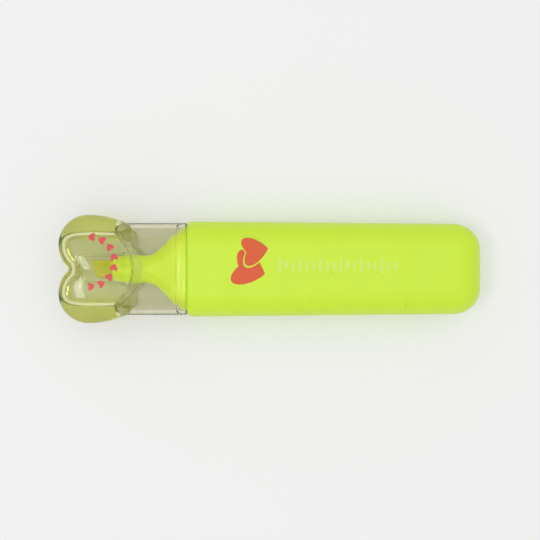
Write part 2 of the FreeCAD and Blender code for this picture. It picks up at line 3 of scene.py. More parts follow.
import bmesh
import bpy
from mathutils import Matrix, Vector


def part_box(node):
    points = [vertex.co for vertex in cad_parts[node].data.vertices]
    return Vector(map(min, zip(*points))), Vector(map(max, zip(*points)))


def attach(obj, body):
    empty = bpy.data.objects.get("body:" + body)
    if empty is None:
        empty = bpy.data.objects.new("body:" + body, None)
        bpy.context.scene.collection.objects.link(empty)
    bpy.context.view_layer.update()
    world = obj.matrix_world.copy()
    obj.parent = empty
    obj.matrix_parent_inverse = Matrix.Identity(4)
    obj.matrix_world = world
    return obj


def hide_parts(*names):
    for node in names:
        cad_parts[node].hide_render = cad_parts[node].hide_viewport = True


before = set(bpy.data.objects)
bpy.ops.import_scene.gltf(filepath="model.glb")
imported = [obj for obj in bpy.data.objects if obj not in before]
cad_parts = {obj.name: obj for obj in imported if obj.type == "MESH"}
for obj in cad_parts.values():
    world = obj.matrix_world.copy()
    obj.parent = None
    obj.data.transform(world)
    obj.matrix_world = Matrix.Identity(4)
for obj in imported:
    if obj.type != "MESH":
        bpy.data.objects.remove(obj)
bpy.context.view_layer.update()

MM = 0.001


def mm(value):
    """Metres of the frame as millimetres."""
    return value / MM


# ---- sizes, in millimetres, from the frame where the part gives them

BARREL_LOW, BARREL_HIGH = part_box("barrel")
FRONT_LOW, FRONT_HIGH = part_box("front_section")
NIB_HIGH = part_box("nib")[1]
TUBE_LOW, TUBE_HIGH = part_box("cap_tube")
CUP_LOW, CUP_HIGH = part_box("inner_cap")

AXIS_Z = mm(BARREL_LOW[2] + BARREL_HIGH[2]) / 2

# barrel; heights are about the pen's axis
BARREL_FRONT = mm(BARREL_LOW[0])
BARREL_REAR = mm(BARREL_HIGH[0])
BARREL_HALF_FRONT = 13.63
BARREL_HALF_REAR = 12.93
BARREL_HALF_UP = mm(BARREL_HIGH[2] - BARREL_LOW[2]) / 2
BARREL_PLAN_CORNER = 7.6
BARREL_ROUNDING = 7.4
BARREL_LIP = 1.35
BORE_HALF_FRONT = 12.08
BORE_HALF_REAR = 11.45
BORE_HALF_UP = 7.04
BORE_REAR = 58.5
BORE_ROUNDING = 6.0
BORE_PLAN_CORNER = 6.2
BORE_SHARES = (0.0, 0.02, 0.1, 0.3, 0.6, 1.0)
# radius and depth of each ring of the moulding mark in the rear end
GATE_MARK = ((0.72, 0.0), (0.66, 0.03), (0.58, 0.16), (0.2, 0.18))
LIP_STEPS = 8
BARREL_STATIONS = 40
REAR_STEPS = 20

# front section
PLUG_REAR = mm(FRONT_HIGH[0])
PLUG_HALF = mm(FRONT_HIGH[1])
PLUG_HALF_UP = mm(FRONT_HIGH[2]) - AXIS_Z
PLUG_CORNER = 5.95
PLUG_WALL = 1.4
SHOULDER_REAR = -24.7
SHOULDER_FRONT = -35.2
SHOULDER_SPAN = 12.0
SHOULDER_STEPS = 30
SHOULDER_SWELL = 0.15
NECK_ROUNDNESS = 0.492
ROUNDNESS_DROP = 0.058
NECK_RADIUS = 3.95
NECK_FRONT = -41.0
NECK_STRAIGHT = -38.0
HOLDER_FACE = mm(FRONT_LOW[0])
HOLDER_FACE_RADIUS = 3.45
HOLDER_EDGE = 0.2
GUIDE_RADIUS = 3.6
CHANNEL_PLAY = 0.025
CHANNEL_CORNER = 0.3
CHANNEL_BEVEL = 0.12
# distance behind the shoulder and inset of each ring of the seat
SEAT_RINGS = ((-0.02, 0.16), (0.03, 0.06), (0.12, 0.0), (1.0, 0.0), (3.0, 0.0))
HOLLOW_STATIONS = (-25.6, -26.6, -27.6, -28.6, -29.6, -30.6)

# nib
NIB_HALF = mm(NIB_HIGH[1])
NIB_HALF_UP = mm(NIB_HIGH[2]) - AXIS_Z
NIB_LONG_SIDE = -51.0
NIB_SHORT_SIDE = -49.5
NIB_TAIL = mm(NIB_HIGH[0])
NIB_CORNER = 0.45
NIB_WEAR = 0.42
# distances of the nib's rings behind its slanted end
NIB_STATIONS = (1.2, 2.4, 4.0, 7.0, 14.0, 24.0)

# cap tube
TUBE_END = mm(TUBE_LOW[0])
TUBE_MOUTH = mm(TUBE_HIGH[0])
TUBE_HALF = mm(TUBE_HIGH[1])
TUBE_HALF_UP = mm(TUBE_HIGH[2]) - AXIS_Z
TUBE_CORNER = 7.0
TUBE_WALL = 1.3
MOUTH_HALF = 12.13
MOUTH_HALF_UP = 7.12
MOUTH_CORNER = 6.0
MOUTH_DEPTH = 2.7
END_ROUND = 0.6
RIM_ROUND = 0.3
MOUTH_BEVEL = 0.08
# even steps along the outside and the inside
OUTER_STATIONS = 13
INNER_STATIONS = 9
NOTCH_X = -50.4
NOTCH_RADIUS = 12.0

# inner cap
CUP_END = mm(CUP_LOW[0])
CUP_FLOOR = 1.55
CUP_RADIUS = 4.45
CUP_BORE = 3.55
CUP_MOUTH = 4.05
CUP_BEAD = mm(CUP_HIGH[1])
CUP_RIM = mm(CUP_HIGH[0])
CUP_BEAD_LENGTH = 1.0
CUP_FOOT = 0.8
CUP_SOFTNESS = 0.3
CUP_SPACING = 1.2
CUP_AXIS = 0.02

# heart
HEART_CENTRE = -46.0
HEART_HALF_UP = 8.5
HEART_FULLNESS = 4.3
HEART_WALL = 1.5
HEART_GAP = 0.02
HOLLOW_HALF_WIDTH = 10.7
HOLLOW_BLEND = 8
LOBE_X = -51.45
LOBE_Y = 6.95
LOBE_RADIUS = 8.55
FLANK_RADIUS = 25.0
TIP_RADIUS = 12.0
CLEFT_RADIUS = 1.2


# ---- mesh helpers


def point(x, y, z):
    """Millimetres about the pen's axis to a point of the frame."""
    return Vector((x * MM, y * MM, (z + AXIS_Z) * MM))


def finish_mesh(name, bm, material, sharp_degrees=35.0):
    """Turn a bmesh into an object with outward faces and smooth shading between edges."""
    bmesh.ops.remove_doubles(bm, verts=bm.verts, dist=1e-7)
    bmesh.ops.recalc_face_normals(bm, faces=bm.faces)
    mesh = bpy.data.meshes.new(name)
    bm.to_mesh(mesh)
    bm.free()
    mesh.materials.append(material)
    mesh.shade_smooth()
    mesh.set_sharp_from_angle(angle=math.radians(sharp_degrees))
    obj = bpy.data.objects.new(name, mesh)
    bpy.context.scene.collection.objects.link(obj)
    return obj


def bridge_rings(bm, rings, looped=False):
    """Faces between successive rings of points, and from the last to the first if looped."""
    made = [[bm.verts.new(p) for p in ring] for ring in rings]
    pairs = list(zip(made, made[1:]))
    if looped:
        pairs.append((made[-1], made[0]))
    for first, second in pairs:
        count = len(first)
        for i in range(count):
            j = (i + 1) % count
            bm.faces.new((first[i], first[j], second[j], second[i]))
    return made


def ring_object(name, rings, material, sharp_degrees=35.0, looped=False):
    """Object whose surface runs through the rings; unless it loops, its ends are closed."""
    bm = bmesh.new()
    made = bridge_rings(bm, rings, looped)
    if not looped:
        bm.faces.new(list(reversed(made[0])))
        bm.faces.new(made[-1])
    return finish_mesh(name, bm, material, sharp_degrees)


def keep_result(obj, sharp_degrees):
    """Put the outcome of the object's modifiers in place of its mesh."""
    bpy.context.view_layer.update()
    depsgraph = bpy.context.evaluated_depsgraph_get()
    mesh = bpy.data.meshes.new_from_object(obj.evaluated_get(depsgraph))
    obj.modifiers.clear()
    old = obj.data
    obj.data = mesh
    bpy.data.meshes.remove(old)
    mesh.shade_smooth()
    mesh.set_sharp_from_angle(angle=math.radians(sharp_degrees))


def cut_with(obj, cutter, sharp_degrees):
    """Subtract the cutter, keep the result as plain mesh, and drop the cutter."""
    modifier = obj.modifiers.new("cut", "BOOLEAN")
    modifier.operation = "DIFFERENCE"
    modifier.solver = "EXACT"
    modifier.object = cutter
    keep_result(obj, sharp_degrees)
    bpy.data.objects.remove(cutter)


# points along the side, the corner and the broad face of a quarter section
SIDE_STEPS = 4
CORNER_STEPS = 14
FACE_STEPS = 9


def quadrant(half, up, corner):
    """Points of a quarter of a rounded rectangle, from its side to its top."""
    corner = min(corner, half - 1e-4, up - 1e-4)
    points = []
    for i in range(SIDE_STEPS):
        points.append((half, (up - corner) * i / SIDE_STEPS))
    for i in range(CORNER_STEPS):
        turn = math.pi / 2 * i / CORNER_STEPS
        points.append((half - corner + corner * math.cos(turn),
                       up - corner + corner * math.sin(turn)))
    for i in range(FACE_STEPS):
        points.append(((half - corner) * (1 - i / FACE_STEPS), up))
    return points


def mirror_quadrant(points):
    """The whole ring from its first quarter, keeping the points evenly matched."""
    top = (0.0, points[-1][1])
    second = [(-y, z) for y, z in reversed(points[1:])]
    upper = points + [top] + second
    lower_left = [(-y, -z) for y, z in points]
    lower_right = [(y, -z) for y, z in reversed(points[1:])]
    return upper + lower_left + [(0.0, -top[1])] + lower_right


def rounded_ring(x, half, up, corner):
    """Section of a flat rounded bar at a station."""
    return [point(x, y, z) for y, z in mirror_quadrant(quadrant(half, up, corner))]


# a small section that gives the bearings of a round ring's points
BEARINGS = mirror_quadrant(quadrant(1.3, 1.0, 0.75))


def round_ring(x, radius):
    """Ring of a circle with its points matched to those of the rounded rectangles."""
    ring = []
    for y, z in BEARINGS:
        reach = math.hypot(y, z)
        ring.append(point(x, radius * y / reach, radius * z / reach))
    return ring


def arc_steps(count):
    """Angles of a quarter turn from 0 to 90 degrees."""
    return [math.pi / 2 * i / count for i in range(count + 1)]


def shrunk(sizes, inset):
    """Half width, half height and corner of a section, all less by an inset."""
    return [size - inset for size in sizes]


# ---- node helpers


def feed(tree, node, values):
    """Give the node's inputs, by name or number, a constant or another node's output."""
    for key, value in values.items():
        socket = node.inputs[key]
        if isinstance(value, bpy.types.NodeSocket):
            tree.links.new(value, socket)
        else:
            socket.default_value = (*value, 1.0) if socket.type == "RGBA" else value


def add_node(tree, kind, inputs=None, **settings):
    """New node with its settings made and its inputs fed."""
    node = tree.nodes.new(kind)
    for name, value in settings.items():
        setattr(node, name, value)
    feed(tree, node, inputs or {})
    return node


def new_group(name, tree_kind, inputs, outputs):
    """Empty node group; inputs are (name, kind, default) and outputs (name, kind)."""
    group = bpy.data.node_groups.new(name, tree_kind)
    for socket_name, kind, default in inputs:
        socket = group.interface.new_socket(socket_name, in_out="INPUT",
                                            socket_type="NodeSocket" + kind)
        if default is not None:
            socket.default_value = default
    for socket_name, kind in outputs:
        group.interface.new_socket(socket_name, in_out="OUTPUT",
                                   socket_type="NodeSocket" + kind)
    return group, group.nodes.new("NodeGroupInput").outputs, group.nodes.new("NodeGroupOutput")


def calc(tree, operation, first, second=None, clamp=False):
    """One step of arithmetic on constants or outputs."""
    inputs = {0: first} if second is None else {0: first, 1: second}
    return add_node(tree, "ShaderNodeMath", inputs, operation=operation,
                    use_clamp=clamp).outputs[0]


def times(tree, first, second):
    return calc(tree, "MULTIPLY", first, second)


def plus(tree, first, second, clamp=False):
    return calc(tree, "ADD", first, second, clamp)


def vector_sum(tree, first, second):
    return add_node(tree, "ShaderNodeVectorMath", {0: first, 1: second},
                    operation="ADD").outputs[0]


def join_xyz(tree, **values):
    return add_node(tree, "ShaderNodeCombineXYZ", values).outputs[0]


def noise(tree, vector, scale, detail=4.0, roughness=0.5, distortion=0.0):
    return add_node(tree, "ShaderNodeTexNoise", {
        "Vector": vector, "Scale": scale, "Detail": detail, "Roughness": roughness,
        "Distortion": distortion}).outputs["Fac"]


def stretched(tree, vector, scale, turn=0.0):
    """Vector scaled differently along each axis, after a turn about Z."""
    return add_node(tree, "ShaderNodeMapping", {
        "Vector": vector, "Scale": scale, "Rotation": (0.0, 0.0, turn)}).outputs["Vector"]


def band(tree, value, low, high):
    """0 below low, 1 above high, smooth between."""
    return add_node(tree, "ShaderNodeMapRange", {
        "Value": value, "From Min": low, "From Max": high},
        interpolation_type="SMOOTHSTEP").outputs["Result"]


def mix_colours(tree, share, first, second):
    node = add_node(tree, "ShaderNodeMix", {0: share}, data_type="RGBA")
    low, high = [i for i, socket in enumerate(node.inputs) if socket.type == "RGBA"]
    feed(tree, node, {low: first, high: second})
    return next(socket for socket in node.outputs if socket.type == "RGBA")


# ---- shader groups


def make_grain_group():
    """Fine skin of a moulded plastic piece: soft mottling and a fine even grain."""
    group, entry, leave = new_group(
        "moulded_grain", "ShaderNodeTree",
        [("Vector", "Vector", None), ("Grain Scale", "Float", 9000.0),
         ("Mottle Scale", "Float", 160.0)],
        [("Height", "Float"), ("Mottle", "Float")])
    vector = entry["Vector"]
    fine = noise(group, vector, entry["Grain Scale"], detail=2.0, roughness=0.6)
    wave = noise(group, vector, 420.0, detail=1.0)
    feed(group, leave, {
        "Height": plus(group, times(group, fine, 0.35),
                       times(group, wave, 0.65)),
        "Mottle": noise(group, vector, entry["Mottle Scale"], detail=3.0, roughness=0.55),
    })
    return group


# for each family of hairlines: turn about Z, fineness across, turn of its patches
HAIRLINES = ((0.35, 5200.0, 0.0), (-0.6, 6100.0, 3.1), (1.35, 4300.0, 7.7))


def make_scratch_group():
    """Hairline scratches from handling, in three directions, and dull rubbed patches."""
    group, entry, leave = new_group(
        "handling_scratches", "ShaderNodeTree",
        [("Vector", "Vector", None), ("Amount", "Float", 0.5)],
        [("Scratches", "Float"), ("Rubbed", "Float")])
    vector = entry["Vector"]
    total = None
    for turn, fineness, patch_turn in HAIRLINES:
        lines = noise(group, stretched(group, vector, (70.0, fineness, fineness), turn),
                      1.0, detail=1.0)
        patches = noise(group, stretched(group, vector, (1.0, 1.0, 1.0), patch_turn),
                        95.0, detail=1.0)
        hair = times(group, band(group, lines, 0.70, 0.735),
                    band(group, patches, 0.52, 0.66))
        total = hair if total is None else calc(group, "MAXIMUM", total, hair)
    rubbed = band(group, noise(group, vector, 60.0, detail=5.0, roughness=0.6), 0.5, 0.78)
    feed(group, leave, {
        "Scratches": times(group, total, entry["Amount"]),
        "Rubbed": times(group, rubbed, entry["Amount"]),
    })
    return group


def make_fibre_group():
    """Bundle of fine fibres that run along X, with darker soaked streaks."""
    group, entry, leave = new_group(
        "soaked_fibres", "ShaderNodeTree",
        [("Vector", "Vector", None), ("Fineness", "Float", 1.0)],
        [("Height", "Float"), ("Streak", "Float")])
    vector, fineness = entry["Vector"], entry["Fineness"]
    feed(group, leave, {
        "Height": noise(group, stretched(group, vector, (260.0, 6200.0, 6200.0)),
                        fineness, detail=3.0, roughness=0.65),
        "Streak": noise(group, stretched(group, vector, (90.0, 900.0, 900.0)),
                        fineness, detail=4.0, roughness=0.6),
    })
    return group


GRAIN = make_grain_group()
SCRATCHES = make_scratch_group()
FIBRES = make_fibre_group()


# ---- materials

SCUFF_COLOUR = (0.30, 0.36, 0.09)
SCRATCH_COLOUR = (0.80, 0.90, 0.30)
THREAD_COLOUR = (0.74, 0.71, 0.02)
MOULDED_IOR = 1.49


def new_material(name):
    material = bpy.data.materials.new(name)
    material.use_nodes = True
    tree = material.node_tree
    tree.nodes.clear()
    shader = tree.nodes.new("ShaderNodeBsdfPrincipled")
    output = add_node(tree, "ShaderNodeOutputMaterial", {"Surface": shader.outputs["BSDF"]})
    place = tree.nodes.new("ShaderNodeTexCoord").outputs["Object"]
    return material, tree, shader, output, place


def use_group(tree, group, place, **values):
    """Outputs of a shader group used in a material."""
    inputs = {name.replace("_", " "): value for name, value in values.items()}
    node = add_node(tree, "ShaderNodeGroup", node_tree=group)
    feed(tree, node, {"Vector": place, **inputs})
    return node.outputs


def bump(tree, height, strength, distance):
    return add_node(tree, "ShaderNodeBump", {
        "Strength": strength, "Distance": distance, "Height": height}).outputs["Normal"]


def moulded_plastic(name, colour, deep, roughness, scuffs, wear, painted_glow=0.0):
    """Satin opaque plastic with grain, handling scratches and a few darker scuffs; it may also
    give off a painted glow in its own colour, which stands in for light.
    """
    material, tree, shader, _, place = new_material(name)
    grain = use_group(tree, GRAIN, place)
    marks = use_group(tree, SCRATCHES, place, Amount=wear)
    tone = band(tree, grain["Mottle"], 0.35, 0.7)
    specks = noise(tree, place, 330.0, detail=3.0, roughness=0.7, distortion=0.4)
    speck_mask = times(tree, band(tree, specks, 0.69, 0.76), scuffs)
    base = mix_colours(tree, times(tree, tone, 0.35), colour, deep)
    base = mix_colours(tree, speck_mask, base, SCUFF_COLOUR)
    base = mix_colours(tree, times(tree, marks["Scratches"], 0.25),
                       base, SCRATCH_COLOUR)
    rough = plus(tree, times(tree, grain["Mottle"], 0.12), roughness - 0.06)
    height = calc(tree, "SUBTRACT", grain["Height"],
                  times(tree, marks["Scratches"], 0.8))
    feed(tree, shader, {
        # emission in the plastic's own colour is a painted glow, not a lamp
        "Base Color": base, "Emission Color": base, "Emission Strength": painted_glow,
        "Roughness": plus(tree, rough,
                          times(tree, marks["Rubbed"], 0.12), clamp=True),
        "IOR": MOULDED_IOR,
        "Normal": bump(tree, height, 0.25, 0.00004),
    })
    return material


def clear_plastic(name, tint, edge, edge_power, shadow, absorb, density, ior, wear, ripple):
    """Polished clear plastic whose tint deepens with the thickness looked through."""
    material, tree, shader, output, place = new_material(name)
    facing = add_node(tree, "ShaderNodeLayerWeight", {"Blend": 0.5}).outputs["Facing"]
    depth = calc(tree, "POWER", facing, edge_power, clamp=True)
    grain = use_group(tree, GRAIN, place, Mottle_Scale=220.0)
    marks = use_group(tree, SCRATCHES, place, Amount=wear)
    cloud = times(tree, grain["Mottle"], 0.12)
    rough = plus(tree, 0.02, times(tree, marks["Rubbed"], 0.05))
    height = plus(tree, noise(tree, place, ripple, detail=1.0),
                  times(tree, marks["Scratches"], -0.12))
    feed(tree, shader, {
        "Base Color": mix_colours(tree, plus(tree, depth, cloud, clamp=True),
                                  tint, edge),
        "Roughness": plus(tree, rough,
                          times(tree, marks["Scratches"], 0.25), clamp=True),
        "IOR": ior, "Transmission Weight": 1.0,
        "Normal": bump(tree, height, 0.3, 0.00012),
    })
    rays = tree.nodes.new("ShaderNodeLightPath").outputs
    through = add_node(tree, "ShaderNodeBsdfTransparent", {"Color": shadow}).outputs["BSDF"]
    either = add_node(tree, "ShaderNodeMixShader", {
        0: rays["Is Shadow Ray"], 1: shader.outputs["BSDF"], 2: through})
    deepening = add_node(tree, "ShaderNodeVolumeAbsorption", {
        "Color": absorb, "Density": density})
    feed(tree, output, {"Surface": either.outputs[0], "Volume": deepening.outputs[0]})
    return material


def fibre_material(name, colour, deep, fineness, roughness):
    """Pressed fibre soaked in ink."""
    material, tree, shader, _, place = new_material(name)
    fibres = use_group(tree, FIBRES, place, Fineness=fineness)
    thread = band(tree, fibres["Height"], 0.35, 0.65)
    base = mix_colours(tree, band(tree, fibres["Streak"], 0.3, 0.7), colour, deep)
    feed(tree, shader, {
        "Base Color": mix_colours(tree, times(tree, thread, 0.25), base,
                                  THREAD_COLOUR),
        "Roughness": plus(tree, roughness,
                          times(tree, fibres["Height"], 0.2), clamp=True),
        "Normal": bump(tree, fibres["Height"], 0.6, 0.00012),
    })
    return material


def ink_material(name, colour, worn, roughness):
    """Screen-printed ink: slightly uneven cover, a little raised, rubbed in places."""
    material, tree, shader, _, place = new_material(name)
    grain = use_group(tree, GRAIN, place, Mottle_Scale=700.0)
    marks = use_group(tree, SCRATCHES, place, Amount=0.8)
    cover = band(tree, grain["Mottle"], 0.35, 0.75)
    base = mix_colours(tree, times(tree, cover, 0.3), colour, worn)
    feed(tree, shader, {
        "Base Color": mix_colours(tree, times(tree, marks["Scratches"], 0.6),
                                  base, worn),
        "Roughness": plus(tree, roughness,
                          times(tree, grain["Mottle"], 0.15), clamp=True),
        "Normal": bump(tree, grain["Height"], 0.2, 0.00003),
    })
    return material


BARREL_PLASTIC = moulded_plastic(
    "barrel_plastic", (0.600, 0.840, 0.030), (0.560, 0.800, 0.026),
    roughness=0.38, scuffs=0.5, wear=0.7)
# the front moulding carries a painted glow that stands in for light it lacks inside the clear
# tube; the plastic is also fluorescent
FRONT_PLASTIC = moulded_plastic(
    "front_plastic", (0.680, 0.900, 0.030), (0.640, 0.850, 0.028),
    roughness=0.34, scuffs=0.2, wear=0.3, painted_glow=0.15)
FILM_PLASTIC = moulded_plastic(
    "film", (0.800, 0.840, 0.600), (0.720, 0.780, 0.500),
    roughness=0.22, scuffs=0.1, wear=0.4)
TUBE_PLASTIC = clear_plastic(
    "clear_plastic", tint=(0.893, 0.893, 0.822), edge=(0.76, 0.68, 0.44), edge_power=2.6,
    shadow=(0.930, 0.930, 0.900), absorb=(0.60, 0.60, 0.22), density=85.0, ior=1.36,
    wear=0.6, ripple=90.0)
CUP_PLASTIC = clear_plastic(
    "cup_plastic", tint=(0.990, 0.990, 0.980), edge=(0.94, 0.94, 0.86), edge_power=3.0,
    shadow=(0.98, 0.98, 0.97), absorb=(0.80, 0.80, 0.40), density=40.0, ior=1.04,
    wear=0.3, ripple=90.0)
HEART_PLASTIC = clear_plastic(
    "tinted_clear_plastic", tint=(0.848, 0.860, 0.752), edge=(0.58, 0.60, 0.06),
    edge_power=1.1, shadow=(0.92, 0.92, 0.84), absorb=(0.94, 0.955, 0.10), density=46.0,
    ior=1.34, wear=0.5, ripple=110.0)
NIB_FIBRE = fibre_material(
    "nib_fibre", (0.640, 0.620, 0.006), (0.520, 0.500, 0.004), fineness=1.0, roughness=0.78)
WICK_FIBRE = fibre_material(
    "wick_fibre", (0.640, 0.740, 0.080), (0.520, 0.640, 0.040), fineness=0.7, roughness=0.75)
RED_INK = ink_material("red_ink", (0.700, 0.092, 0.018), (0.640, 0.120, 0.022), 0.34)
PALE_INK = ink_material("pale_ink", (0.640, 0.820, 0.200), (0.600, 0.810, 0.140), 0.4)
CAP_INK = ink_material("cap_ink", (0.680, 0.055, 0.075), (0.560, 0.080, 0.080), 0.32)


# ---- barrel


def barrel_half(x, front, rear):
    """Half width of a tapering side at a station."""
    share = (x - BARREL_FRONT) / (BARREL_REAR - BARREL_PLAN_CORNER - BARREL_FRONT)
    return front + (rear - front) * min(share, 1.0)


def plan_half(x, end, corner, front, rear):
    """Half width of the plan outline, its rear corner included."""
    half = barrel_half(x, front, rear)
    start = end - corner
    if x > start:
        half = half - corner + math.sqrt(max(corner ** 2 - (x - start) ** 2, 0.0))
    return half


def pillow_ring(x, end, plan_corner, up, rounding, front, rear):
    """Section of a flat block whose edges are all rounded, square to the axis."""
    room = min(max(end - x, 0.0), rounding)
    last = math.acos(1 - room / rounding)

    def edge_point(turn):
        inward = rounding * (1 - math.cos(turn))
        return (plan_half(x, *(size - inward for size in (end, plan_corner, front, rear))),
                up - rounding + rounding * math.sin(turn))

    side = plan_half(x, end, plan_corner, front, rear)
    quarter = [(side, (up - rounding) * i / SIDE_STEPS) for i in range(SIDE_STEPS)]
    quarter += [edge_point(last * i / CORNER_STEPS) for i in range(CORNER_STEPS)]
    edge, top = edge_point(last)
    for i in range(FACE_STEPS):
        quarter.append((edge * (1 - i / FACE_STEPS), top))
    return [point(x, y, z) for y, z in mirror_quadrant(quarter)]


def outer_section(x):
    return pillow_ring(x, BARREL_REAR, BARREL_PLAN_CORNER, BARREL_HALF_UP, BARREL_ROUNDING,
                       BARREL_HALF_FRONT, BARREL_HALF_REAR)


def build_barrel():
    """Outside and bore of the one-piece barrel, with its rounded lip."""
    outer = []
    for turn in arc_steps(LIP_STEPS):
        inset = BARREL_LIP * (1 - math.sin(turn))
        x = BARREL_FRONT + BARREL_LIP * (1 - math.cos(turn))
        half = barrel_half(x, BARREL_HALF_FRONT, BARREL_HALF_REAR) - inset
        outer.append(rounded_ring(x, half, BARREL_HALF_UP - inset, BARREL_ROUNDING - inset))
    start = BARREL_FRONT + BARREL_LIP
    straight_end = BARREL_REAR - BARREL_PLAN_CORNER
    for i in range(1, BARREL_STATIONS + 1):
        outer.append(outer_section(start + (straight_end - start) * i / BARREL_STATIONS))
    for turn in reversed(arc_steps(REAR_STEPS)[:-1]):
        outer.append(outer_section(BARREL_REAR - BARREL_ROUNDING * (1 - math.cos(turn))))
    for radius, depth in GATE_MARK:
        outer.append(round_ring(BARREL_REAR - depth, radius))
    bore = []
    for share in BORE_SHARES:
        x = BARREL_FRONT + (BORE_REAR - BORE_PLAN_CORNER - BARREL_FRONT) * share
        half = barrel_half(x, BORE_HALF_FRONT, BORE_HALF_REAR)
        bore.append(rounded_ring(x, half, BORE_HALF_UP, BORE_ROUNDING))
    for turn in reversed(arc_steps(LIP_STEPS)[:-1]):
        x = BORE_REAR - BORE_ROUNDING * (1 - math.cos(turn))
        bore.append(pillow_ring(x, BORE_REAR, BORE_PLAN_CORNER, BORE_HALF_UP, BORE_ROUNDING,
                                BORE_HALF_FRONT, BORE_HALF_REAR))
    barrel = ring_object("barrel_shell", bore[::-1] + outer, BARREL_PLASTIC, 40.0)
    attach(barrel, "pen")
    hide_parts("barrel")


# ---- front section and nib


def smooth_step(share):
    share = min(max(share, 0.0), 1.0)
    return share * share * (3 - 2 * share)


def shoulder_ring(x, inset=0.0):
    """Section of the flare between the round neck and the flat plug."""
    blend = smooth_step((x - SHOULDER_FRONT) / SHOULDER_SPAN)
    half = NECK_RADIUS + blend * (PLUG_HALF + SHOULDER_SWELL - NECK_RADIUS) - inset
    up = NECK_RADIUS + blend * (PLUG_HALF_UP - NECK_RADIUS) - inset
    return rounded_ring(x, half, up, 2 * up * (NECK_ROUNDNESS - ROUNDNESS_DROP * blend))


def build_front_section():
    """Plug, seat, flare, neck and holder as one closed moulding with the nib's channel."""
    channel = (NIB_HALF + CHANNEL_PLAY, NIB_HALF_UP + CHANNEL_PLAY, CHANNEL_CORNER)
    bevelled = (channel[0] + CHANNEL_BEVEL, channel[1] + CHANNEL_BEVEL, CHANNEL_CORNER + 0.1)
    seat = (PLUG_HALF, PLUG_HALF_UP, PLUG_CORNER)
    hollow = shrunk(seat, PLUG_WALL)
    guide_end = PLUG_REAR - 0.5
    rings = [
        rounded_ring(HOLDER_FACE + CHANNEL_BEVEL, *channel),
        rounded_ring(HOLDER_FACE, *bevelled),
        round_ring(HOLDER_FACE, HOLDER_FACE_RADIUS - HOLDER_EDGE),
    ]
    for turn in arc_steps(3)[1:]:
        rings.append(round_ring(HOLDER_FACE + HOLDER_EDGE * (1 - math.cos(turn)),
                                HOLDER_FACE_RADIUS - HOLDER_EDGE * (1 - math.sin(turn))))
    rings += [
        round_ring(NECK_FRONT - 0.1, NECK_RADIUS - 0.014),
        round_ring(NECK_FRONT + 0.1, NECK_RADIUS),
        round_ring(NECK_STRAIGHT, NECK_RADIUS),
    ]
    first, last = SHOULDER_FRONT - 0.6, SHOULDER_REAR - 0.25
    rings += [shoulder_ring(first + (last - first) * i / SHOULDER_STEPS)
              for i in range(SHOULDER_STEPS + 1)]
    rings += [rounded_ring(SHOULDER_REAR + back, *shrunk(seat, inset))
              for back, inset in SEAT_RINGS]
    rings += [
        rounded_ring(PLUG_REAR - 0.4, *seat),
        rounded_ring(PLUG_REAR, *shrunk(seat, 0.3)),
        rounded_ring(PLUG_REAR, *hollow),
        rounded_ring(SHOULDER_REAR + 0.2, *hollow),
    ]
    rings += [shoulder_ring(x, PLUG_WALL) for x in HOLLOW_STATIONS]
    rings += [
        round_ring(-31.2, GUIDE_RADIUS + 0.25),
        round_ring(-30.9, GUIDE_RADIUS),
        round_ring(guide_end, GUIDE_RADIUS),
        rounded_ring(guide_end, *channel),
    ]
    front = ring_object("front_moulding", rings, FRONT_PLASTIC, 38.0, looped=True)
    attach(front, "pen")
    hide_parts("front_section")


def build_nib():
    """Chisel nib: slanted writing end with worn, softened edges and a pointed tail."""
    slope = (NIB_SHORT_SIDE - NIB_LONG_SIDE) / (2 * NIB_HALF)

    def nib_ring(back, inset, corner):
        section = mirror_quadrant(quadrant(NIB_HALF - inset, NIB_HALF_UP - inset, corner))
        return [point(NIB_LONG_SIDE + (NIB_HALF - y) * slope + back, y, z) for y, z in section]

    rings = [nib_ring(0.0, NIB_HALF_UP * 0.98, 0.01), nib_ring(0.0, NIB_HALF_UP * 0.7, 0.1)]
    rings += [nib_ring(NIB_WEAR * (1 - math.cos(turn)), NIB_WEAR * (1 - math.sin(turn)),
                       NIB_CORNER) for turn in arc_steps(6)]
    rings += [nib_ring(back, 0.0, NIB_CORNER) for back in NIB_STATIONS]
    rings.append(rounded_ring(NIB_TAIL - 2.0, NIB_HALF, NIB_HALF_UP, NIB_CORNER))
    rings.append(rounded_ring(NIB_TAIL, NIB_HALF / 3, NIB_HALF_UP - 0.1, 0.3))
    nib = ring_object("chisel_nib", rings, NIB_FIBRE, 50.0)
    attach(nib, "pen")
    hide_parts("nib")


# ---- cap


